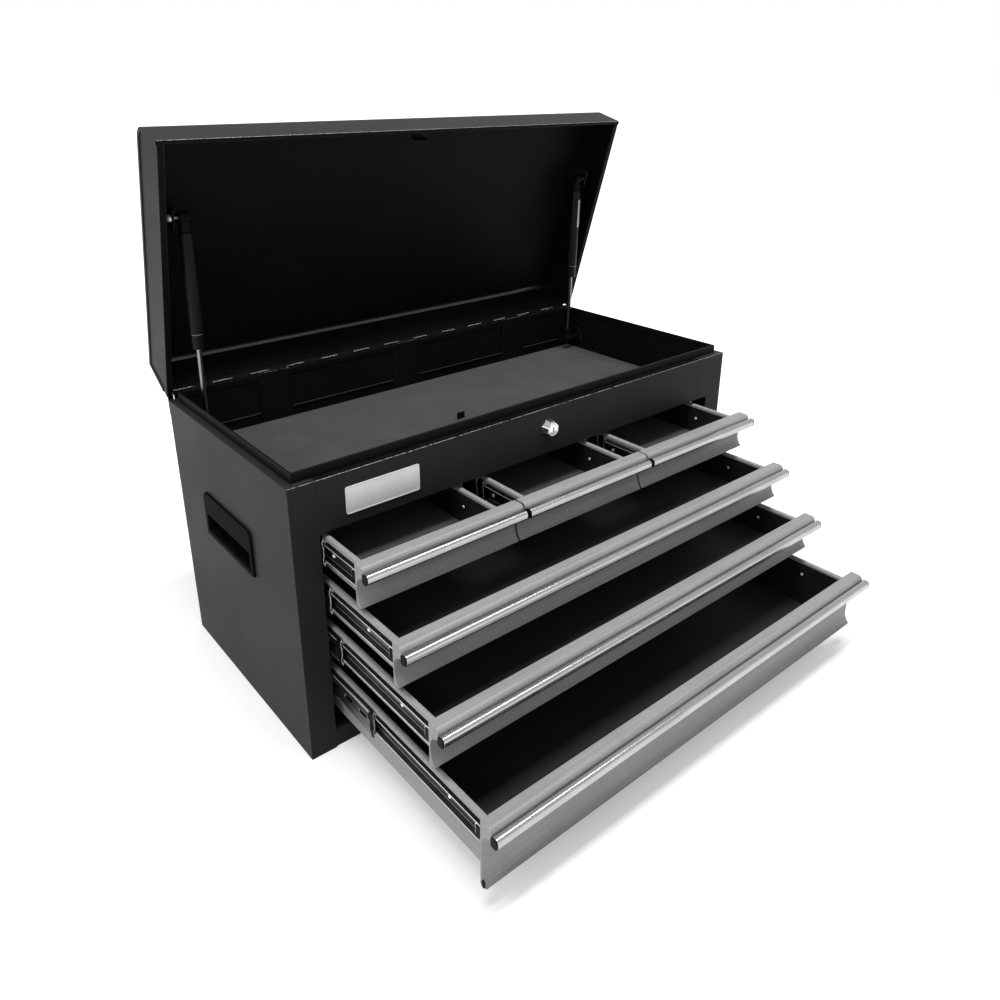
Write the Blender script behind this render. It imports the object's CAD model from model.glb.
# %% [markdown]
# # A machinist tool chest, dressed for the picture
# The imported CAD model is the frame: every sheet, slide and strut is already in its place, in metres, and rides on
# its own body. This lesson loads it, sets up a camera and a studio, and then gives each piece its surface and the
# small things that the CAD leaves out: foam mats, rounded folds, rivets, bumpers and slide stops.

# %% Load the frame
import math

import bmesh
import bpy
from mathutils import Matrix, Vector


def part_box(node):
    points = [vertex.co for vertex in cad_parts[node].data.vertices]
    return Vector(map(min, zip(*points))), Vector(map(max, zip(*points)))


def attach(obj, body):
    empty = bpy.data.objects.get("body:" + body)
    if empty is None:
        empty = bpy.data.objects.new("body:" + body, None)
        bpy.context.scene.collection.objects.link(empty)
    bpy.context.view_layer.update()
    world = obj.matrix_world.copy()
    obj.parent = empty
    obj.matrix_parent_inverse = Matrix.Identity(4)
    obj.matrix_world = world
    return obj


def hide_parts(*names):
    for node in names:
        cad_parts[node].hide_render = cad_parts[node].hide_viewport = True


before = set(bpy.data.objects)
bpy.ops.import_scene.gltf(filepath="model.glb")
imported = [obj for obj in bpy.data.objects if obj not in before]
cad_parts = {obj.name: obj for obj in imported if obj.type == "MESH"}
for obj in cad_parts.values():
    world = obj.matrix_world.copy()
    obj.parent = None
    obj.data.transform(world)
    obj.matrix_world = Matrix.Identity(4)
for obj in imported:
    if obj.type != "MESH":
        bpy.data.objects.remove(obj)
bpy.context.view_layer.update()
MM = 0.001
# Two places closer than this are taken as one
NEAR = 0.1 * MM

# %% [markdown]
# ## The camera
# The photograph was taken from the front left and a little above, with a lens close enough that the near drawer
# looks much larger than the far one. A camera fitted to the chest's corners gives its place, its turn and its lens.
# The centre of that lens lies above and left of the picture's centre, which a view camera would do with a shifted
# back, so the shift settings do it here.

# %% Camera
VIEW_TURN, VIEW_RISE, VIEW_ROLL = (math.radians(a) for a in (-38.57, 21.22, -0.35))
VIEW_PLACE = Vector((-621.3, -794.1, 663.9)) * MM
FOCAL_SHARE, CENTRE_LEFT, CENTRE_UP = 0.82568, 0.02527, 0.09169
camera_data = bpy.data.cameras.new("studio_camera")
camera_data.sensor_width = 36
camera_data.lens = FOCAL_SHARE * camera_data.sensor_width
camera_data.shift_x, camera_data.shift_y = CENTRE_LEFT, -CENTRE_UP
camera_data.clip_start, camera_data.clip_end = 0.02, 200
camera = bpy.data.objects.new("studio_camera", camera_data)
bpy.context.scene.collection.objects.link(camera)
level = math.cos(VIEW_RISE)
back = Vector((math.sin(VIEW_TURN) * level, -math.cos(VIEW_TURN) * level, math.sin(VIEW_RISE)))
right = Vector((math.cos(VIEW_TURN), math.sin(VIEW_TURN), 0))
axes = Matrix((right, back.cross(right), back)).transposed().to_4x4()
camera.matrix_world = Matrix.Translation(VIEW_PLACE) @ axes @ Matrix.Rotation(VIEW_ROLL, 4, "Z")
bpy.context.scene.camera = camera
print("Camera lens", round(camera_data.lens, 2), "mm")

# %% [markdown]
# ## Colours and nodes
# A hex colour says how a surface looks on a screen, and the shader wants the light behind it, so one function turns
# the one into the other. A second one adds any node of a material, with its settings and its links, and gives one of
# its outputs. Patterns read Object coordinates, which are metres here, so a grain of so many millimetres is written
# as it is measured. Real surfaces are never of one colour, so nearly every finish below is cloudy: one colour turns
# into another where a pattern is high. Each ends in a Principled shader.

# %% Helpers for colours and nodes
def linear(code):
    """An sRGB hex colour as opaque linear light."""
    parts = [int(code[i:i + 2], 16) / 255 for i in (1, 3, 5)]
    return tuple(p / 12.92 if p <= 0.04045 else ((p + 0.055) / 1.055) ** 2.4 for p in parts) + (1.0,)


def add(tree, kind, links=None, out=0, **settings):
    """Adds a node of a kind, with its settings, sets or links its inputs, and gives one of its outputs."""
    node = tree.nodes.new("ShaderNode" + kind)
    for key, value in settings.items():
        setattr(node, key, value)
    for key, value in (links or {}).items():
        if isinstance(value, bpy.types.NodeSocket):
            tree.links.new(value, node.inputs[key])
        else:
            node.inputs[key].default_value = value
    return node.outputs[out] if len(node.outputs) else None


def new_material(name):
    """An empty material, its tree and the point on the piece in metres."""
    material = bpy.data.materials.new(name)
    material.use_nodes = True
    material.node_tree.nodes.clear()
    return material, material.node_tree, add(material.node_tree, "TexCoord", out="Object")


def cloudy(tree, pattern, low, high, share, base, other):
    """The base colour, which turns by up to a share into the other as the pattern rises from low to high."""
    turned = add(tree, "MapRange", {0: pattern, 1: low, 2: high, 3: 0, 4: share})
    return add(tree, "Mix", {0: turned, 6: base, 7: other}, out=2, data_type="RGBA")


def finished(material, tree, sockets):
    """Ends a material: its shader with these sockets, and the output."""
    add(tree, "OutputMaterial", {"Surface": add(tree, "BsdfPrincipled", sockets)})
    return material


print("Helpers for materials are ready")

# %% [markdown]
# ## The studio
# Such a chest is photographed on a white sweep with a large soft light on its left and a long one overhead, which
# draws a thin line on every pull. The floor is pale and takes the chest's shadow; what it adds for the camera takes
# it to white, most of all far off, where the lamps don't reach. The world is white where the camera looks.
# Reflections see it white round the horizon too, and dimmer straight up, as a studio's ceiling is. Where it only
# fills the shadows it is a plain grey.

# %% Floor, world and lamps
# Metres from the middle where the floor's lift starts to grow, and where it is full
LIFT_STARTS, LIFT_FULL = 0.55, 1.6
# The world's strength as fill for shadows, and straight up where it is mirrored
FILL, CEILING = 0.42, 0.35
WHITE = linear("#ffffff")


def make_floor():
    """A wide pale disc that takes the shadow; seen or mirrored, it is lifted to white away from the chest."""
    material, tree, point = new_material("studio_floor")
    looked_at = add(tree, "LightPath", out="Is Camera Ray")
    mirrored = add(tree, "LightPath", out="Is Glossy Ray")
    seen = add(tree, "Math", {0: looked_at, 1: mirrored}, operation="MAXIMUM")
    cloud = add(tree, "TexNoise", {"Vector": point, "Scale": 2.5})
    paper = add(tree, "Mix", {0: cloud, 6: linear("#e8e8e8"), 7: linear("#ececec")}, out=2, data_type="RGBA")
    away = add(tree, "VectorMath", {0: point}, out="Value", operation="LENGTH")
    far = add(tree, "MapRange", {0: away, 1: LIFT_STARTS, 2: LIFT_FULL, 3: 0.32, 4: 1.0})
    lift = add(tree, "Math", {0: far, 1: seen}, operation="MULTIPLY")
    matt = add(tree, "BsdfDiffuse", {"Color": paper})
    glow = add(tree, "Emission", {"Color": WHITE, "Strength": lift})
    both = add(tree, "AddShader", {0: matt, 1: glow})
    add(tree, "OutputMaterial", {"Surface": both})
    mesh = bpy.data.meshes.new("floor")
    bm = bmesh.new()
    bmesh.ops.create_circle(bm, cap_ends=True, radius=60, segments=64)
    bm.to_mesh(mesh)
    bm.free()
    floor = bpy.data.objects.new("floor", mesh)
    mesh.materials.append(material)
    bpy.context.scene.collection.objects.link(floor)


def make_world():
    """White to the camera and to reflections near the horizon, and a plain grey where it fills shadows."""
    world = bpy.data.worlds.new("studio_world")
    world.use_nodes = True
    tree = world.node_tree
    tree.nodes.clear()
    mirrored = add(tree, "LightPath", out="Is Glossy Ray")
    seen_through = add(tree, "LightPath", out="Is Transmission Ray")
    shiny = add(tree, "Math", {0: mirrored, 1: seen_through}, operation="MAXIMUM")
    rise = add(tree, "SeparateXYZ", {0: add(tree, "TexCoord", out="Generated")}, out="Z")
    ceiling = add(tree, "MapRange", {0: rise, 1: 0.45, 2: 0.95, 3: 1.0, 4: CEILING})
    unseen = add(tree, "Mix", {0: shiny, 2: FILL, 3: ceiling})
    strength = add(tree, "Mix", {0: add(tree, "LightPath", out="Is Camera Ray"), 2: unseen, 3: 1.0})
    white = add(tree, "Background", {"Color": WHITE, "Strength": strength})
    add(tree, "OutputWorld", {"Surface": white})
    bpy.context.scene.world = world


def make_lamp(name, place, aim, size, watts):
    """A rectangular soft light at a place, turned towards what it lights."""
    data = bpy.data.lights.new(name, "AREA")
    data.shape, data.size, data.size_y, data.energy = "RECTANGLE", size[0], size[1], watts
    lamp = bpy.data.objects.new(name, data)
    bpy.context.scene.collection.objects.link(lamp)
    lamp.location = place
    lamp.rotation_euler = (Vector(aim) - Vector(place)).to_track_quat("-Z", "Y").to_euler()


make_floor()
make_world()
make_lamp("left_softbox", (-2.4, -0.1, 1.1), (0, 0, 0.25), (1.8, 2.0), 20)
make_lamp("top_strip", (0.0, -0.5, 2.5), (0, -0.1, 0.2), (2.6, 0.4), 66)
bpy.context.scene.view_settings.view_transform = "Standard"

# %% [markdown]
# ## Black powder coat
# The cabinet and lid are sheet steel with baked polyester powder. Powder melts into a satin skin with a faint orange
# peel, a little thinner over each bend. A bevel node rounds the folds' edges for the light, and where the rounded
# normal leaves the flat one there is an edge, so that the rubbed places grow lighter there.

# %% Black powder coat
def black_powder_coat(name, colour, rubbed, rough, gloss):
    """Polyester powder, baked: a dark satin skin that shows a soft reflection and a fine orange peel."""
    material, tree, point = new_material(name)
    soft = add(tree, "Bevel", {"Radius": 0.9 * MM}, samples=6)
    flat = add(tree, "NewGeometry", out="Normal")
    agree = add(tree, "VectorMath", {0: soft, 1: flat}, out="Value", operation="DOT_PRODUCT")
    handled = add(tree, "TexNoise", {"Vector": point, "Scale": 11, "Detail": 4})
    tone = cloudy(tree, handled, 0.35, 0.7, 0.5, linear(colour), linear(rubbed))
    # The chips and rubs along an edge come and go every few millimetres
    chips = add(tree, "TexNoise", {"Vector": point, "Scale": 1 / (3 * MM), "Detail": 3})
    near = add(tree, "MapRange", {0: agree, 1: 0.99, 2: 0.75, 3: 0, 4: 1})
    chipped = add(tree, "MapRange", {0: chips, 1: 0.4, 2: 0.65, 3: 0.3, 4: 1})
    worn = add(tree, "Math", {0: near, 1: chipped}, operation="MULTIPLY")
    paint = add(tree, "Mix", {0: worn, 6: tone, 7: linear("#5a5a5a")}, out=2, data_type="RGBA")
    rough_here = add(tree, "MapRange", {0: handled, 1: 0.3, 2: 0.7, 3: rough - 0.04, 4: rough + 0.06})
    # Real orange peel is about 1 to 2 mm from hump to hump, and a few hundredths of a millimetre high
    peel = add(tree, "TexNoise", {"Vector": point, "Scale": 1 / (1.6 * MM), "Detail": 3})
    normal = add(tree, "Bump", {"Height": peel, "Distance": 0.05 * MM, "Strength": 0.5, "Normal": soft})
    return finished(material, tree, {"Base Color": paint, "Roughness": rough_here, "Normal": normal,
                                     "Specular IOR Level": gloss})


outer_paint = black_powder_coat("black_powder_coat", "#262626", "#2e2e2e", 0.46, 0.05)
inner_paint = black_powder_coat("thin_black_powder_coat", "#0c0c0c", "#131313", 0.5, 0.05)

# %% [markdown]
# ## Glossy black inside the drawers
# The boxes are dipped before their outside is sprayed silver, so that the inside stays a thin glossy black. It
# mirrors the bright room near the front, where nothing stands before it, and the dark cabinet further in.

# %% Dipped black
def dipped_black():
    """Dipped and stoved enamel: almost black and smooth, with slow waves that soften what it mirrors."""
    material, tree, point = new_material("dipped_black_enamel")
    soft = add(tree, "Bevel", {"Radius": 0.6 * MM}, samples=4)
    cloud = add(tree, "TexNoise", {"Vector": point, "Scale": 30, "Detail": 3})
    tone = cloudy(tree, cloud, 0.35, 0.7, 1, linear("#1a1a1a"), linear("#222222"))
    waves = add(tree, "TexNoise", {"Vector": point, "Scale": 1 / (12 * MM), "Detail": 1})
    normal = add(tree, "Bump", {"Height": waves, "Distance": 0.06 * MM, "Strength": 0.4, "Normal": soft})
    rough = add(tree, "MapRange", {0: cloud, 1: 0.3, 2: 0.7, 3: 0.2, 4: 0.28})
    return finished(material, tree, {"Base Color": tone, "Roughness": rough, "Normal": normal,
                                     "Specular IOR Level": 0.5})


box_black = dipped_black()

# %% [markdown]
# ## Silver powder coat
# The drawers' outside carries a silver-grey powder with aluminium flakes in it. The flakes lie at random, so the skin
# glitters slightly and looks lighter than plain grey where light falls along it. Real flakes are some 30 microns
# across; they are drawn as coarse as half a millimetre, because finer ones don't show at this distance. Faint lines
# from the rolls that formed the fronts run along them.

# %% Silver powder coat
def silver_powder_coat():
    """Powder with aluminium flake: half metal, half paint, with a fine glitter and faint roll lines."""
    material, tree, point = new_material("silver_flake_powder_coat")
    soft = add(tree, "Bevel", {"Radius": 0.5 * MM}, samples=6)
    cells = add(tree, "TexVoronoi", {"Vector": point, "Scale": 1 / (0.5 * MM)}, out="Color")
    flake = add(tree, "SeparateColor", {"Color": cells})
    tone = add(tree, "Mix", {0: flake, 6: linear("#898989"), 7: linear("#9b9b9b")}, out=2, data_type="RGBA")
    cloud = add(tree, "TexNoise", {"Vector": point, "Scale": 16, "Detail": 3})
    tone = cloudy(tree, cloud, 0.4, 0.8, 0.3, tone, linear("#787878"))
    along = add(tree, "Mapping", {"Vector": point, "Scale": (0.01, 1, 1)})
    lines = add(tree, "TexNoise", {"Vector": along, "Scale": 1 / (1.8 * MM), "Detail": 2})
    paint = cloudy(tree, lines, 0.45, 0.65, 0.3, tone, linear("#707070"))
    peel = add(tree, "TexNoise", {"Vector": point, "Scale": 1 / (1.4 * MM), "Detail": 2})
    normal = add(tree, "Bump", {"Height": peel, "Distance": 0.03 * MM, "Strength": 0.4, "Normal": soft})
    rough = add(tree, "MapRange", {0: flake, 1: 0, 2: 1, 3: 0.38, 4: 0.46})
    return finished(material, tree, {"Base Color": paint, "Roughness": rough, "Metallic": 0.1,
                                     "Normal": normal, "Specular IOR Level": 0.2})


silver_paint = silver_powder_coat()

# %% [markdown]
# ## Bare metals
# The slides, the hinge and the brackets are steel with bright zinc, which keeps the draw lines of the rolling mill and
# a cloudy bloom. The pulls are extruded and anodised aluminium, brushed along their length. The lock and its bezel
# are die cast, polished and chromed. The struts' rods are ground and then darkened by a salt bath, so they shine
# less. All keep the default IOR, as metals do; roughness and lines tell them apart.

# %% Bare metals
def drawn_metal(name, colour, dull, rough, along, line_mm, line_depth, bloom_mm, metal=1.0):
    """Metal with lines along one axis: tight noise drawn out that way, in colour, roughness and height."""
    material, tree, point = new_material(name)
    soft = add(tree, "Bevel", {"Radius": 0.4 * MM}, samples=6)
    stretch = tuple(1 / 60 if axis == along else 1 for axis in "XYZ")
    drawn = add(tree, "Mapping", {"Vector": point, "Scale": stretch})
    lines = add(tree, "TexNoise", {"Vector": drawn, "Scale": 1 / (line_mm * MM), "Detail": 3})
    bloom = add(tree, "TexNoise", {"Vector": point, "Scale": 1 / (bloom_mm * MM), "Detail": 4})
    tone = cloudy(tree, bloom, 0.35, 0.7, 0.6, linear(colour), linear(dull))
    tone = cloudy(tree, lines, 0.3, 0.7, 0.3, tone, linear(dull))
    by_line = add(tree, "MapRange", {0: lines, 1: 0.3, 2: 0.7, 3: -0.05, 4: 0.05})
    by_bloom = add(tree, "MapRange", {0: bloom, 1: 0.3, 2: 0.7, 3: rough - 0.03, 4: rough + 0.05})
    here = add(tree, "Math", {0: by_line, 1: by_bloom}, operation="ADD")
    depth = line_depth * MM
    normal = add(tree, "Bump", {"Height": lines, "Distance": depth, "Strength": 0.35, "Normal": soft})
    return finished(material, tree, {"Base Color": tone, "Roughness": here, "Metallic": metal,
                                     "Normal": normal})


zinc = drawn_metal("bright_zinc_plate", "#727272", "#4c4c4c", 0.3, "Y", 0.5, 0.02, 14)
cut_steel = drawn_metal("sheared_steel_edge", "#f0f0f0", "#c5c5c5", 0.4, "Z", 0.4, 0.02, 6, 0.5)
pull_metal = drawn_metal("brushed_anodised_aluminium", "#b5b5b5", "#9b9b9b", 0.24, "X", 0.35, 0.004, 40)
chrome = drawn_metal("polished_chrome", "#e5e5e5", "#d1d1d1", 0.1, "Z", 0.8, 0.005, 25)
rod_steel = drawn_metal("salt_bath_darkened_rod", "#7d7d7d", "#5f5f5f", 0.22, "X", 0.3, 0.004, 20)
plate_metal = drawn_metal("satin_nickel_plate", "#e6e6e6", "#d2d2d2", 0.36, "X", 0.4, 0.01, 30, 0.4)

# %% [markdown]
# ## Plastics and enamel
# The handles, end caps and ball sockets are black moulded plastic: the mould is spark eroded, which leaves a fine
# even grain and a dull sheen. The strut tubes are steel with a smooth black enamel that reflects like glass.

# %% Plastics and enamel
def moulded_plastic(name, colour, worn, rough, gloss):
    """Moulded polypropylene: a fine spark-eroded grain and a soft, low sheen."""
    material, tree, point = new_material(name)
    soft = add(tree, "Bevel", {"Radius": 0.7 * MM}, samples=6)
    # The real grain is about 0.1 mm; it is drawn at 0.6 mm, the finest that the picture shows
    sparks = add(tree, "TexNoise", {"Vector": point, "Scale": 1 / (0.6 * MM), "Detail": 2})
    cloud = add(tree, "TexNoise", {"Vector": point, "Scale": 33, "Detail": 3})
    tone = cloudy(tree, cloud, 0.35, 0.7, 1, linear(colour), linear(worn))
    normal = add(tree, "Bump", {"Height": sparks, "Distance": 0.06 * MM, "Strength": 0.5, "Normal": soft})
    here = add(tree, "MapRange", {0: sparks, 1: 0.3, 2: 0.7, 3: rough - 0.07, 4: rough + 0.07})
    return finished(material, tree, {"Base Color": tone, "Roughness": here, "Normal": normal,
                                     "Specular IOR Level": gloss})


def tube_enamel():
    """Stoved gloss enamel: nearly black, with a clear narrow highlight."""
    material, tree, point = new_material("gloss_black_tube_enamel")
    soft = add(tree, "Bevel", {"Radius": 0.5 * MM}, samples=4)
    cloud = add(tree, "TexNoise", {"Vector": point, "Scale": 40, "Detail": 3})
    tone = cloudy(tree, cloud, 0.35, 0.7, 1, linear("#0c0c0c"), linear("#131313"))
    here = add(tree, "MapRange", {0: cloud, 1: 0.3, 2: 0.7, 3: 0.3, 4: 0.38})
    return finished(material, tree, {"Base Color": tone, "Roughness": here, "Normal": soft,
                                     "Specular IOR Level": 0.08})


plastic = moulded_plastic("moulded_black_polypropylene", "#0e0e0e", "#141414", 0.6, 0.01)
acetal = moulded_plastic("moulded_black_acetal", "#0a0a0a", "#101010", 0.45, 0.04)
enamel = tube_enamel()
print("Materials:", len(bpy.data.materials))

# %% [markdown]
# ## Rubbed edges
# Where a sheared edge is handled or knocked, the powder is rubbed through and bare steel glints in dots. One material
# mixes the two by a noise, for the narrow bevels of the edges that show this.

# %% Rubbed edges
def rubbed_edge(name, bare, share):
    """Black powder coat with bare steel showing through in dots of a millimetre or two."""
    material, tree, point = new_material(name)
    dots = add(tree, "TexNoise", {"Vector": point, "Scale": 1 / (1.7 * MM), "Detail": 2})
    through = add(tree, "MapRange", {0: dots, 1: 0.58 - 0.2 * share, 2: 0.66 - 0.2 * share, 3: 0, 4: 1})
    tone = add(tree, "Mix", {0: through, 6: linear("#191919"), 7: linear(bare)}, out=2, data_type="RGBA")
    metal = add(tree, "MapRange", {0: through, 1: 0, 2: 1, 3: 0, 4: 0.4})
    rough = add(tree, "MapRange", {0: through, 1: 0, 2: 1, 3: 0.5, 4: 0.35})
    return finished(material, tree, {"Base Color": tone, "Metallic": metal, "Roughness": rough,
                                     "Specular IOR Level": 0.1})


bright_rub = rubbed_edge("powder_coat_rubbed_to_steel", "#b2b2b2", 0.8)
faint_rub = rubbed_edge("powder_coat_rubbed_thin", "#7c7c7c", 0.6)

# %% [markdown]
# ## Which finish goes where
# A CAD node keeps its shape and gets its material by the kind of part that its name tells. Further down, copies with
# rounded folds or two finishes replace some of them.

# %% Materials onto CAD nodes
FINISHES = {
    "side_left": outer_paint, "side_right": outer_paint, "back_panel": outer_paint, "base_pan": outer_paint,
    "top_rail": outer_paint, "lid_shell": outer_paint, "tray": inner_paint, "slide_panels": inner_paint,
    "lid_catch": inner_paint, "side_handles": plastic, "badge_plate": plate_metal, "lock_housing": chrome,
    "lock_plug": chrome, "cabinet_slide_members": zinc, "hinge_cabinet_leaf": inner_paint, "hinge_pin": zinc,
    "hinge_lid_leaf": inner_paint, "lid_ball_studs": zinc, "strut_cylinders": enamel,
    "strut_upper_sockets": acetal, "strut_lower_sockets": acetal, "strut_rods": rod_steel,
    "cabinet_ball_studs": zinc,
}
FINISH_BY_START = {
    "drawer_slides": zinc, "middle_slides": zinc, "drawer_": silver_paint, "pull_caps": acetal,
    "pull_": pull_metal,
}


def finish_of(node):
    """A CAD node's material by its name or the start of it; none for the mats, which get copies."""
    if node in FINISHES:
        return FINISHES[node]
    return next((m for start, m in FINISH_BY_START.items() if node.startswith(start)), None)


for node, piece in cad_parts.items():
    material = finish_of(node)
    if material:
        piece.data.materials.clear()
        piece.data.materials.append(material)
print("CAD nodes with a finish:", sum(1 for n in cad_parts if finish_of(n)))

# %% [markdown]
# ## Copies with rounded folds
# Sheet metal has no knife edges: a shear leaves a small burr that is tumbled round, and a brake bends round a radius.
# A copy of a CAD node's mesh is merged, its flat faces are made whole, and each edge that has room on both sides gets
# a bevel of about 0.3 mm. Normals weighted by face area then keep the large faces flat and let only the bevels turn.

# %% Helpers for copied and new pieces
# Faces at more than the first angle get a rounded fold; the shading breaks past the second
FOLD_ANGLE, SHARP_ANGLE = math.radians(35), math.radians(40)
# In radians: an edge bent more than this was folded
BENT = 1


def run_of(edge, axis=0):
    """How far an edge runs along an axis, x unless another is given."""
    return abs((edge.verts[1].co - edge.verts[0].co)[axis])


def verts_of(geom):
    """The vertices among what an operator gave back."""
    return [g for g in geom if isinstance(g, bmesh.types.BMVert)]


def bevelled(bm, edges, width, segments=2):
    """Bevels edges round and gives the new faces."""
    return bmesh.ops.bevel(bm, geom=edges, offset=width, affect="EDGES", segments=segments, profile=0.5,
                           material=-1)["faces"]


def copy_of(node):
    """A merged copy of a CAD node's mesh, with flat faces made whole."""
    bm = bmesh.new()
    bm.from_mesh(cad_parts[node].data)
    bmesh.ops.remove_doubles(bm, verts=bm.verts, dist=0.001 * MM)
    bmesh.ops.dissolve_limit(bm, angle_limit=math.radians(0.5), verts=bm.verts, edges=bm.edges)
    return bm


def round_folds(bm, width, segments=2, wanted=lambda edge: True, room=None):
    """Bevels the sharp edges whose two faces are both wide enough for it."""
    room = room or 2.2 * width
    folds = [e for e in bm.edges if len(e.link_faces) == 2 and e.calc_face_angle(0) > FOLD_ANGLE
             and wanted(e) and all(f.calc_area() / e.calc_length() > room for f in e.link_faces)]
    bevelled(bm, folds, width, segments)
    return len(folds)


def link_piece(name, bm, materials, body, replaced=(), smooth=True):
    """Ends a bmesh as an object of the scene, at the origin, riding on a body."""
    mesh = bpy.data.meshes.new(name)
    bm.to_mesh(mesh)
    bm.free()
    for material in materials:
        mesh.materials.append(material)
    piece = bpy.data.objects.new(name, mesh)
    bpy.context.scene.collection.objects.link(piece)
    if smooth:
        mesh.shade_smooth()
        mesh.set_sharp_from_angle(angle=SHARP_ANGLE)
        piece.modifiers.new("even_shading", "WEIGHTED_NORMAL").keep_sharp = True
    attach(piece, body)
    if replaced:
        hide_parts(*replaced)
    return piece


def rounded_copy(node, body, material, width=0.3 * MM, segments=2):
    """A copy of a node with rounded folds, which replaces it."""
    bm = copy_of(node)
    made = round_folds(bm, width, segments)
    link_piece(node + "_formed", bm, [material], body, (node,))
    return made


plain_sheets = ("base_pan", "back_panel")
print("Rounded folds:", [rounded_copy(node, "cabinet", outer_paint) for node in plain_sheets])

# %% [markdown]
# The top rail's front edge and the collar's inner edge are where tools are set down, so their bevels take a rubbed
# material. The rail's ledge lies in the lid's shade and stays as thin and dull as the tray.

# %% Rail and tray with rubbed edges
def rubbed_copy(node, materials, wanted, width):
    """A copy whose chosen edges get a bevel in the second material."""
    bm = copy_of(node)
    chosen = [e for e in bm.edges if len(e.link_faces) == 2 and wanted(e)]
    for face in bevelled(bm, chosen, width):
        face.material_index = 1
    for face in bm.faces:
        if len(materials) > 2 and face.material_index == 0 and face.normal.z > 0.9:
            face.material_index = 2
    round_folds(bm, 0.3 * MM)
    link_piece(node + "_formed", bm, materials, "cabinet", (node,))
    return len(chosen)


rail_low, rail_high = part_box("top_rail")
tray_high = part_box("tray")[1]
COLLAR_BACK = 0.14


def on_front_edge(edge):
    """True for an edge at the ledge's height, in the plane of the rail's front."""
    return all(v.co.z > rail_high.z - NEAR and v.co.y < rail_low.y + NEAR for v in edge.verts)


def on_collar(edge):
    """True for a folded edge on top of the tray's walls, in front of its rear wall."""
    on_top = all(v.co.z > tray_high.z - NEAR and v.co.y < COLLAR_BACK for v in edge.verts)
    return on_top and edge.calc_face_angle(0) > BENT


for node in ("side_left", "side_right"):
    rubbed_copy(node, [outer_paint, bright_rub], lambda e: run_of(e) > 5 * MM and on_front_edge(e), 0.3 * MM)
rail_edges = rubbed_copy("top_rail", [outer_paint, bright_rub, inner_paint],
                         lambda e: run_of(e) > 10 * MM and on_front_edge(e), 0.3 * MM)
collar_edges = rubbed_copy("tray", [inner_paint, faint_rub], on_collar, 0.4 * MM)
print("Rubbed edges:", rail_edges, "on the rail,", collar_edges, "on the collar")

# %% [markdown]
# ## The lid, light outside and dark inside
# The lid is sprayed from outside, and little powder reaches the hollow, so that its inside stays thinner and duller.
# A face is on the outside when no part of the lid stands well in front of it, which one product of vectors tells.
# The edge of its front hem is rubbed bright where hands lift it.

# %% Lid
LIP_Y, LIP_Z, WELL_AHEAD = 0.071, 0.6, 1.6 * MM


def turned_in(bm, face):
    """True for a face of the lid's mouth, or one that has more of the lid in front of it."""
    ahead = max((v.co - face.verts[0].co).dot(face.normal) for v in bm.verts)
    return face.normal.y < -0.8 or ahead > WELL_AHEAD


def on_lip(edge):
    """True for a long folded edge at the front of the open lid's mouth."""
    sharp = len(edge.link_faces) == 2 and edge.calc_face_angle(0) > BENT
    return sharp and run_of(edge) > 10 * MM and all(v.co.z > LIP_Z and v.co.y < LIP_Y for v in edge.verts)


bm = copy_of("lid_shell")
bm.normal_update()
for face in [f for f in bm.faces if turned_in(bm, f)]:
    face.material_index = 1
lip = [e for e in bm.edges if on_lip(e)]
for face in bevelled(bm, lip, 0.3 * MM):
    face.material_index = 2
folds = round_folds(bm, 0.3 * MM)
lid_finishes = [outer_paint, inner_paint, bright_rub]
link_piece("lid_shell_formed", bm, lid_finishes, "lid", ("lid_shell",))
print("Lid:", len(lip), "rubbed lip edges,", folds, "rounded folds")

# %% [markdown]
# Powder pools in the fold between the lid's top and its rear wall and cures glossier there, which draws a soft line of
# light along it. An arc of a few vertices, spun about the fold's own centre, is pushed along the lid.

# %% Fold of the lid
LID_OPEN = math.radians(73.5)
HINGE = Vector((0, 0.1569, 0.3253))
FOLD_CENTRE, FOLD_TOP, FOLD_END = (-20.6, 38.9), (-20.6, 46.1), 0.331
glossy_paint = black_powder_coat("pooled_black_powder_coat", "#1b1b1b", "#242424", 0.28, 0.5)


def on_lid(back, up):
    """A point of the closed lid, in mm from the hinge line, as it stands at rest."""
    return HINGE + Matrix.Rotation(-LID_OPEN, 3, "X") @ Vector((0, back, up)) * MM


def pushed_along(bm, start, end):
    """Extrudes all edges from one x to another."""
    bmesh.ops.translate(bm, vec=(start, 0, 0), verts=bm.verts)
    swept = bmesh.ops.extrude_edge_only(bm, edges=bm.edges[:])["geom"]
    bmesh.ops.translate(bm, vec=(end - start, 0, 0), verts=verts_of(swept))


bm = bmesh.new()
centre = on_lid(*FOLD_CENTRE)
start = [bm.verts.new(on_lid(*FOLD_TOP))]
bmesh.ops.spin(bm, geom=start, cent=centre, axis=(1, 0, 0), angle=math.radians(-75), steps=8)
pushed_along(bm, -FOLD_END, FOLD_END)
bmesh.ops.recalc_face_normals(bm, faces=bm.faces)
if bm.faces[:][0].normal.dot(centre - bm.faces[:][0].calc_center_median()) < 0:
    bmesh.ops.reverse_faces(bm, faces=bm.faces)
fold_line = link_piece("lid_rear_fold", bm, [glossy_paint], "lid")
print("Fold's ends:", [tuple(round(c / MM) for c in v.co) for v in fold_line.data.vertices[:2]])

# %% [markdown]
# ## Hinge
# The lid's leaf has a foot that reaches down between the knuckles of the cabinet and nearly touches them, so that no
# light comes through. It stays outside their radius, so it clears them in every position. Its lower edge is rubbed
# bright. The pin's heads are peened over: two short drums with their rims bevelled round.

# %% Foot of the leaf and pin heads
LEAF_END, PIN_HEAD_X, KNUCKLE = 0.3245, 0.3288, 2.5 * MM
ALONG_X = Matrix.Rotation(math.radians(90), 4, "Y")


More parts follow.
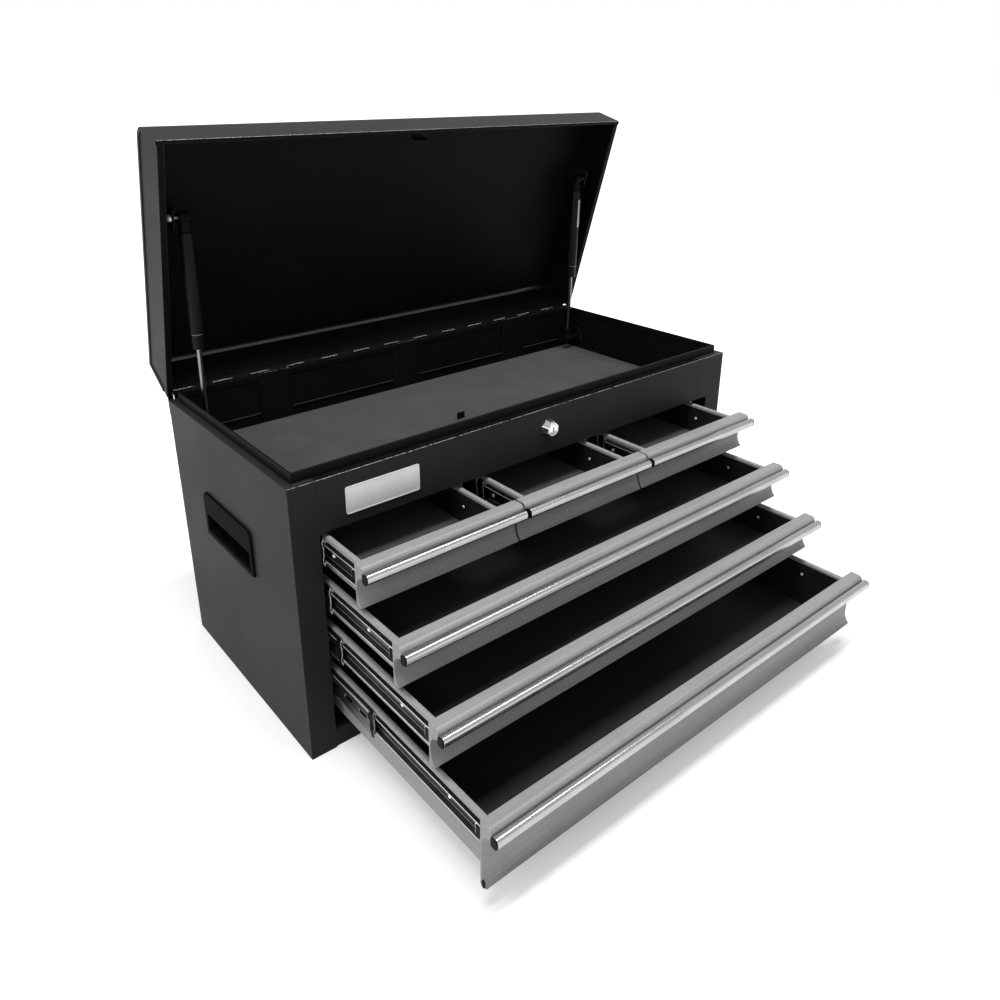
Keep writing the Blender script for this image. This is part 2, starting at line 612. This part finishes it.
def foot_strip(name, low, high, material, wall):
    """A strip along the lid's leaf between two points of its section, in mm on the closed lid."""
    bm = bmesh.new()
    bm.edges.new([bm.verts.new(on_lid(*low)), bm.verts.new(on_lid(*high))])
    pushed_along(bm, -LEAF_END, LEAF_END)
    bmesh.ops.solidify(bm, geom=bm.faces[:], thickness=wall * MM)
    bmesh.ops.recalc_face_normals(bm, faces=bm.faces)
    link_piece(name, bm, [material], "lid")


def add_drum(bm, centre, turn, radius, depth, segments, top=None):
    """A closed drum, or a frustum if its top has another radius; gives its vertices."""
    return bmesh.ops.create_cone(bm, cap_ends=True, segments=segments, radius1=radius, radius2=top or radius,
                                 depth=depth, matrix=Matrix.Translation(centre) @ turn)["verts"]


foot_strip("hinge_foot", (-1.5, 2.45), (-3.3, 4.6), inner_paint, 0.3)
foot_strip("hinge_foot_edge", (-2.1, 2.25), (-2.35, 2.55), bright_rub, 0.25)
bm = bmesh.new()
for side in (-1, 1):
    add_drum(bm, HINGE + Vector((side * PIN_HEAD_X, 0, 0)), ALONG_X, KNUCKLE, 6 * MM, 24)
round_folds(bm, 0.8 * MM, 3)
link_piece("hinge_pin_heads", bm, [inner_paint], "cabinet")
print("Hinge: foot strip and two pin heads")

# %% [markdown]
# ## The drawers, silver outside and black inside
# Each drawer is one folded box welded to a hollow front. The box's inside is dipped black up to 4 mm below its rolled
# edge. The liner's box tells which faces look inwards; a cut along the wall makes the line where the black ends.

# %% Drawer bodies
DRAWERS = ("top_left", "top_middle", "top_right", "second", "third", "bottom")
DIP_LINE = 4 * MM
# Beside each front's rolled edge is a step of 0.2 mm, so the bevels stay under half of it
DRAWER_ROUND = 0.09 * MM


def dress_drawer(name):
    """The drawer's copy, with the inside of its box black up to the dip line."""
    node = "drawer_" + name
    bm = copy_of(node)
    bm.normal_update()
    low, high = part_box("liner_" + name)
    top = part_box(node)[1].z
    reach = 0.45 * MM

    def looks_in(face):
        """True for a face of the box's walls or floor that looks into the box."""
        centre = face.calc_center_median()
        inside = all(low[i] - reach < centre[i] < high[i] + reach for i in (0, 1))
        return inside and centre.z > low.z - NEAR and face.normal.z > -0.5

    faces = [f for f in bm.faces if looks_in(f) and abs(f.normal.z) < 0.5]
    parts = set(faces) | {e for f in faces for e in f.edges} | {v for f in faces for v in f.verts}
    bmesh.ops.bisect_plane(bm, geom=list(parts), dist=1e-7, plane_co=(0, 0, top - DIP_LINE),
                           plane_no=(0, 0, 1))
    for face in bm.faces:
        if looks_in(face) and face.calc_center_median().z < top - DIP_LINE:
            face.material_index = 1
    folds = round_folds(bm, DRAWER_ROUND, room=0.55 * MM)
    link_piece(node + "_formed", bm, [silver_paint, box_black], name + "_drawer", (node,))
    return folds


print("Drawer folds:", [dress_drawer(name) for name in DRAWERS])

# %% [markdown]
# ## Pulls and their caps
# A pull is an extruded aluminium bar, oval in section. The CAD bar is a D, flat where it is seated; the long edges of
# that flat are bevelled round here, which leaves the dark groove between bar and drawer. The sawn ends are broken by a
# small round, and the caps are pressed on.

# %% Pulls and caps
BACK_ROUND = 2.9 * MM
for name in DRAWERS:
    for node, material, slot, width in (("pull_" + name, pull_metal, "aluminium", 0.3 * MM),
                                        ("pull_caps_" + name, acetal, "black_plastic", 0.4 * MM)):
        bm = copy_of(node)
        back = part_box(node)[1].y - NEAR
        seat = [e for e in bm.edges if all(v.co.y > back for v in e.verts) and run_of(e) > MM]
        bevelled(bm, seat, BACK_ROUND, 5)
        round_folds(bm, width, wanted=lambda e: run_of(e) < NEAR)
        link_piece(node + "_formed", bm, [material], name + "_drawer", (node,))
print("Pulls:", len(DRAWERS))

# %% [markdown]
# ## Slide members
# The members are rolled from strip and plated with zinc before they are cut to length, so the cut ends and the
# strip's sheared edges stay brighter than the rest. The ball cages between them are black plastic. Faces that point
# along the slide are cut ends, narrow ones that point sideways are sheared edges, and what stands above or below the
# middle member's channel is cage.

# %% Slide members
SHEARED_EDGE, CHANNEL_HALF = 1.3 * MM, 13.2 * MM
# The cage shows in the channel between these distances from its middle, on faces wider than a wall
CAGE_LOW, CAGE_HIGH, CAGE_WALL = 9.4 * MM, 11.9 * MM, 1.4 * MM


def dress_slides(node, body, with_cages=False):
    """A copy of slide members with bright cut ends and edges, and black ball cages if it has any."""
    bm = copy_of(node)
    bm.normal_update()
    low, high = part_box(node)
    centre_z = (low.z + high.z) / 2
    for face in bm.faces:
        breadth = face.calc_area() / max(e.calc_length() for e in face.edges)
        off_centre = abs(face.calc_center_median().z - centre_z)
        is_end = abs(face.normal.y) > 0.9
        if is_end or (abs(face.normal.x) > 0.9 and breadth < SHEARED_EDGE):
            face.material_index = 1
        in_cage = CAGE_LOW < off_centre < CAGE_HIGH and abs(face.normal.y) < 0.9 and breadth > CAGE_WALL
        if with_cages and (off_centre > CHANNEL_HALF or in_cage):
            face.material_index = 2
    link_piece(node + "_formed", bm, [zinc, cut_steel, acetal], body, (node,))


dress_slides("cabinet_slide_members", "cabinet")
for name in DRAWERS:
    dress_slides("drawer_slides_" + name, name + "_drawer")
    dress_slides("middle_slides_" + name, name + "_middles", with_cages=True)
print("Slide pieces:", 1 + 2 * len(DRAWERS))

# %% [markdown]
# ## Bumpers and stop clips
# A black bumper sits in a small steel cup at the front end of each drawer member and meets the stop when the drawer
# shuts. On the middle member's front end a black clip with hooks above and below holds the ball cage. The first is a
# block with the four edges across the slide bevelled round, and the second an outline extruded to a plate.

# %% Bumpers and clips
def rounded_block(bm, low, high, radius, axis, segments=5):
    """A block whose edges along an axis are bevelled round."""
    made = bmesh.ops.create_cube(bm, size=1)["verts"]
    size = Vector(high) - Vector(low)
    bmesh.ops.scale(bm, vec=size, verts=made)
    bmesh.ops.translate(bm, vec=(Vector(low) + Vector(high)) / 2, verts=made)
    edges = {e for v in made for e in v.link_edges}
    bevelled(bm, [e for e in edges if run_of(e, axis) > 0.5 * size[axis]], radius, segments)


def mirrored_pair(bm, middle_x):
    """Adds the mirror image of everything across the plane between two slides."""
    twin = bmesh.ops.duplicate(bm, geom=bm.verts[:] + bm.edges[:] + bm.faces[:])["geom"]
    bmesh.ops.scale(bm, vec=(-1, 1, 1), verts=verts_of(twin), space=Matrix.Translation((-middle_x, 0, 0)))
    bmesh.ops.reverse_faces(bm, faces=[g for g in twin if isinstance(g, bmesh.types.BMFace)])


# The cup in mm: half its height; its front, back and side from the member's corner; its corner radius
CUP_HALF, CUP_FRONT, CUP_BACK, CUP_SIDE, CUP_CORNER = 8.1, 0.4, 9.6, 4.2, 3.8


def make_bumper(name):
    """A steel cup with a bumper in it at the front end of both drawer members."""
    low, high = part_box("drawer_slides_" + name)
    middle_z, middle_x = (low.z + high.z) / 2, (low.x + high.x) / 2
    for part, inset, side, material, slot in (("bumper_cup", 0.3, 0.5, cut_steel, "zinc"),
                                              ("bumper", 1.1, 0.1, acetal, "black_plastic")):
        bm = bmesh.new()
        half = (CUP_HALF - inset) * MM
        near = (low.x + side * MM, low.y + (CUP_FRONT + inset) * MM, middle_z - half)
        far = (low.x + CUP_SIDE * MM, low.y + (CUP_BACK - inset) * MM, middle_z + half)
        rounded_block(bm, near, far, (CUP_CORNER - inset) * MM, 0)
        mirrored_pair(bm, middle_x)
        round_folds(bm, 0.25 * MM)
        link_piece(f"{part}_{name}", bm, [material], name + "_drawer")


# The clip seen from the side, in mm from the middle member's front end and centre line
CLIP_OUTLINE = [(-0.8, -14.6), (-0.8, -7), (1.6, -4.5), (1.6, 3.5), (-0.8, 6), (-0.8, 14.8), (5.6, 14.8),
                (5.6, 12.4), (8.2, 10.6), (8.2, 5), (5.2, 3), (5.2, -8.6), (3.4, -10.6), (3.4, -14.6)]
CLIP_OUTSIDE, CLIP_WALL = 0.75 * MM, 0.7 * MM


def make_clip(name):
    """A hooked clip on the front end of both middle members."""
    low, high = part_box("middle_slides_" + name)
    middle_z, middle_x = (low.z + high.z) / 2, (low.x + high.x) / 2
    bm = bmesh.new()
    ring = [bm.verts.new((low.x - CLIP_OUTSIDE, low.y + y * MM, middle_z + z * MM)) for y, z in CLIP_OUTLINE]
    plate = bmesh.ops.extrude_face_region(bm, geom=[bm.faces.new(ring)])["geom"]
    bmesh.ops.translate(bm, vec=(CLIP_WALL, 0, 0), verts=verts_of(plate))
    bmesh.ops.recalc_face_normals(bm, faces=bm.faces)
    mirrored_pair(bm, middle_x)
    round_folds(bm, 0.2 * MM)
    link_piece("stop_clip_" + name, bm, [acetal], name + "_middles")


for name in DRAWERS:
    make_bumper(name)
    make_clip(name)
print("Bumpers and clips for", len(DRAWERS), "drawers")

# %% [markdown]
# ## Rivets
# Two rivets hold each drawer member to its drawer, 53 mm behind the front and 150 mm further back: bright and domed
# on the outside, and inside the box on a black washer. Each is a frustum with its rim bevelled and its top pressed in.

# %% Rivets
# Shares of a head's size: its top, its rounded rim and its dimple
HEAD_TOP, HEAD_RIM, DIMPLE = 0.72, 0.2, 0.45


def add_head(bm, place, direction, radius, height):
    """A domed head that looks along a direction, with a dimple in its top."""
    ahead = Vector(direction)
    turn = Vector((0, 0, 1)).rotation_difference(ahead).to_matrix().to_4x4()
    made = add_drum(bm, Vector(place) + ahead * height / 2, turn, radius, height, 20, HEAD_TOP * radius)
    top = max({f for v in made for f in v.link_faces}, key=lambda f: f.calc_center_median().dot(ahead))
    bevelled(bm, list(top.edges), HEAD_RIM * radius)
    top = max((f for f in bm.faces if len(f.verts) > 8), key=lambda f: f.calc_center_median().dot(ahead))
    bmesh.ops.inset_individual(bm, faces=[top], thickness=(1 - DIMPLE) * DIMPLE * radius)
    bmesh.ops.translate(bm, vec=ahead * -DIMPLE * height, verts=top.verts)


def heads(name, places, radius, height, material, body):
    """One piece with a head at each place, given with the direction it looks along."""
    bm = bmesh.new()
    for place, direction in places:
        part = bmesh.new()
        add_head(part, place, direction, radius, height)
        mesh = bpy.data.meshes.new("head")
        part.to_mesh(mesh)
        part.free()
        bm.from_mesh(mesh)
        bpy.data.meshes.remove(mesh)
    link_piece(name, bm, [material], body)


RIVET_BACKS = (53 * MM, 203 * MM)
# The front stands ahead of the drawer members' box, the webs' faces in it, and the walls outside the mat
FRONT_AHEAD, WEB_IN, WALL_OUT = 3.6 * MM, 4.3 * MM, 0.3 * MM
for name in DRAWERS:
    low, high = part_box("drawer_slides_" + name)
    box_low, box_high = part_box("liner_" + name)
    middle_z = (low.z + high.z) / 2
    front = low.y - FRONT_AHEAD
    webs = [(low.x + WEB_IN, -1), (high.x - WEB_IN, 1)]
    walls = [(box_low.x - WALL_OUT, 1), (box_high.x + WALL_OUT, -1)]
    outside, inside = (
        [((x, front + back, middle_z), (side, 0, 0)) for x, side in faces for back in RIVET_BACKS]
        for faces in (webs, walls))
    for piece, places, radius, height, material, slot in (
            ("slide_rivets_", outside, 2.3, 1.2, cut_steel, "zinc"),
            ("wall_washers_", inside, 4.0, 0.4, acetal, "black_plastic"),
            ("wall_rivets_", inside, 2.2, 1.2, cut_steel, "zinc")):
        heads(piece + name, places, radius * MM, height * MM, material, name + "_drawer")
print("Rivets:", 8 * len(DRAWERS))

# %% [markdown]
# ## The struts' studs and nuts
# The brackets are painted with the lid and tray, and only the ball studs and the nuts behind them stay bright. Faces
# near the axis through the balls take the zinc; everything else on the copy takes the paint.

# %% Studs and nuts
STRUT_X, UPPER_BALL, LOWER_BALL = 0.3006, (0.113042, 0.534978), (0.121, 0.284)
STUD_RADIUS, STUD_END, NUT_PLACE = 5.2 * MM, 12.2 * MM, 14 * MM
for node, body, (y, z) in (("lid_ball_studs", "lid", UPPER_BALL),
                           ("cabinet_ball_studs", "cabinet", LOWER_BALL)):
    bm = copy_of(node)
    bm.normal_update()
    for face in bm.faces:
        point = face.calc_center_median()
        off_axis = math.hypot(point.y - y, point.z - z)
        face.material_index = 1 if off_axis < STUD_RADIUS and abs(point.x) < STRUT_X + STUD_END else 0
    round_folds(bm, 0.3 * MM)
    link_piece(node + "_formed", bm, [inner_paint, zinc], body, (node,))
nuts = [((s * (STRUT_X + NUT_PLACE), UPPER_BALL[0], UPPER_BALL[1]), (s, 0, 0)) for s in (-1, 1)]
heads("stud_nuts", nuts, 4.4 * MM, 3.4 * MM, cut_steel, "lid")
print("Stud nuts:", len(nuts))

# %% [markdown]
# ## Sleeves, rings and paper band
# A plastic sleeve covers each upper socket's neck, and a zinc plated ring closes each cylinder's lower end. Both are
# drums on the strut's axis. The right cylinder has kept its blank paper band: a line spun part way round it.

# %% Sleeves, rings and paper band
AXIS = Vector((0, UPPER_BALL[0] - LOWER_BALL[0], UPPER_BALL[1] - LOWER_BALL[1])).normalized()
UPRIGHT = Vector((0, 0, 1)).rotation_difference(AXIS).to_matrix().to_4x4()


def up_strut(side, along):
    """A point on a strut's axis, in mm from its lower ball."""
    return Vector((side * STRUT_X, LOWER_BALL[0], LOWER_BALL[1])) + AXIS * along * MM


for name, along, radius, top, depth, fold, segments, material, slot in (
        ("socket_sleeves", 241.5, 6.4, 7.0, 14, 0.8, 3, acetal, "black_plastic"),
        ("neck_rings", 119.5, 7.75, 7.75, 0.9, 0.25, 2, zinc, "zinc")):
    bm = bmesh.new()
    for side in (-1, 1):
        add_drum(bm, up_strut(side, along), UPRIGHT, radius * MM, depth * MM, 32, top * MM)
    round_folds(bm, fold * MM, segments)
    link_piece(name, bm, [material], "cylinders")

paper, tree, point = new_material("uncoated_paper_band")
fibres = add(tree, "TexNoise", {"Vector": point, "Scale": 1 / (1.2 * MM), "Detail": 4})
tone = add(tree, "Mix", {0: fibres, 6: linear("#a9a9a9"), 7: linear("#c6c6c6")}, out=2, data_type="RGBA")
lay = add(tree, "Bump", {"Height": fibres, "Distance": 0.05 * MM, "Strength": 0.4})
finished(paper, tree, {"Base Color": tone, "Roughness": 0.8, "Normal": lay})
bm = bmesh.new()
BAND_START, BAND_END, BAND_RADIUS = 179.5, 220.5, 7.62
low, high = up_strut(1, BAND_START), up_strut(1, BAND_END)
out = Vector((0.9, -0.44, 0)) * BAND_RADIUS * MM
line = bm.edges.new([bm.verts.new(p + out) for p in (low, high)])
bmesh.ops.spin(bm, geom=[line, *line.verts], cent=low, axis=AXIS, angle=math.radians(-66), steps=14)
bmesh.ops.recalc_face_normals(bm, faces=bm.faces)
link_piece("strut_paper_band", bm, [paper], "cylinders", smooth=False)
print("A paper band of", round((high - low).length / MM), "mm")

# %% [markdown]
# ## Small pressings and guards
# A bead is rolled into the tray's rear wall between its straps, just above the mat. A small bent plate closes the
# corner behind each end of the hinge. A plastic guard is pushed on the lower left corner of the bottom front, which
# stands nearest the bench.

# %% Beads, end plates and corner guard
BEAD_Y, BEAD_Z, GUARD_Y = 0.1411, 0.2785, -0.4005
bm = bmesh.new()
for start, end in ((-297, -224), (-178, -23), (23, 178), (224, 297)):
    add_drum(bm, Vector(((start + end) / 2 * MM, BEAD_Y, BEAD_Z)), ALONG_X, 0.9 * MM, (end - start) * MM, 12)
round_folds(bm, 0.25 * MM)
link_piece("tray_beads", bm, [outer_paint], "cabinet")

bm = bmesh.new()
for x in (-0.3322, 0.3256):
    for near_y, low_z, high_z in ((0.1526, 0.300, 0.3185), (0.1539, 0.316, 0.3245)):
        rounded_block(bm, (x, near_y, low_z), (x + 6.6 * MM, 0.1547, high_z), MM, 1, 3)
link_piece("hinge_end_plates", bm, [inner_paint], "cabinet")

low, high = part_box("drawer_bottom")
bm = bmesh.new()
rounded_block(bm, (low.x - 1.3 * MM, GUARD_Y, low.z + 0.2 * MM),
              (low.x - 0.1 * MM, GUARD_Y + 4.5 * MM, low.z + 8.5 * MM), 2 * MM, 0)
round_folds(bm, 0.3 * MM)
link_piece("corner_guard", bm, [acetal], "bottom_drawer")
print("Beads and guards made")

# %% [markdown]
# ## Handles, lock, catch and plate
# The handles are mouldings with generous rounds, the lock is die cast with smaller ones, and the lid's catch is bent
# from sheet. The plate on the top rail is a thin pressing with a rim, left blank.

# %% Handles, lock, catch and plate
for node, body, material, slot, width, segments in (
        ("side_handles", "cabinet", plastic, "black_plastic", 1.0 * MM, 4),
        ("lock_housing", "cabinet", chrome, "chrome", 0.5 * MM, 3),
        ("lid_catch", "lid", inner_paint, "black_paint", 0.3 * MM, 2)):
    print(node, rounded_copy(node, body, material, width, segments), "folds")


def make_plate():
    """The plate's face is inset twice: a bright rim, a fine groove and a field."""
    bm = copy_of("badge_plate")
    bm.normal_update()
    face = min((f for f in bm.faces if f.normal.y < -0.9), key=lambda f: f.calc_center_median().y)
    bmesh.ops.inset_region(bm, faces=[face], thickness=1.0 * MM, depth=0)
    bmesh.ops.inset_region(bm, faces=[face], thickness=0.35 * MM, depth=-0.25 * MM)
    round_folds(bm, 0.15 * MM)
    link_piece("badge_plate_formed", bm, [plate_metal], "cabinet", ("badge_plate",))


make_plate()

# %% [markdown]
# ## Foam mats
# The tray and the drawers are lined with closed-cell foam sheet. It is cut a little smaller than the floor that it
# lies on, its upper edges are rubbed round, and its skin is pebbled. A copy of the CAD solid gives the exact cut,
# with the slit round the tray's tab, and a bevel rounds its upper edges. The mats in the small drawers and the tray
# are charcoal, and those in the full drawers nearly black.

# %% Foam mats
def foam(name, colour, pressed, rough=0.85, gloss=0.2):
    """Closed-cell polyethylene foam: matt, pebbled like fine leather, with a faint bloom of sheen."""
    material, tree, point = new_material(name)
    marks = add(tree, "TexNoise", {"Vector": point, "Scale": 22, "Detail": 4})
    fuzz = add(tree, "TexNoise", {"Vector": point, "Scale": 1 / (0.9 * MM), "Detail": 4})
    tone = cloudy(tree, marks, 0.35, 0.7, 1, linear(colour), linear(pressed))
    tone = cloudy(tree, fuzz, 0.3, 0.75, 0.5, tone, linear(pressed))
    pebble = add(tree, "TexVoronoi", {"Vector": point, "Scale": 1 / (1.3 * MM)}, feature="SMOOTH_F1")
    skin = add(tree, "Bump", {"Height": pebble, "Distance": 0.25 * MM, "Strength": 0.5})
    normal = add(tree, "Bump", {"Height": fuzz, "Distance": 0.15 * MM, "Strength": 0.4, "Normal": skin})
    return finished(material, tree, {
        "Base Color": tone, "Roughness": rough, "Normal": normal, "Specular IOR Level": gloss,
        "Sheen Weight": 0.1, "Sheen Roughness": 0.6})


def make_mat(node, body, material):
    """A mat cut like its CAD solid, with its upper edges rubbed round."""
    bm = copy_of(node)
    low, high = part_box(node)
    upper = [e for e in bm.edges if all(v.co.z > high.z - NEAR for v in e.verts)]
    bevelled(bm, upper, 0.35 * (high.z - low.z), 3)
    link_piece(node + "_foam", bm, [material], body, (node,))


charcoal_foam = foam("charcoal_polyethylene_foam", "#3d3d3d", "#323232")
small_foam = foam("dark_grey_polyethylene_foam", "#393939", "#313131")
black_foam = foam("black_polyethylene_foam", "#0b0b0b", "#070707", 0.5, 0.3)
make_mat("tray_mat", "cabinet", charcoal_foam)
for name in DRAWERS:
    make_mat("liner_" + name, name + "_drawer", small_foam if name.startswith("top") else black_foam)
print("Mats:", 1 + len(DRAWERS))
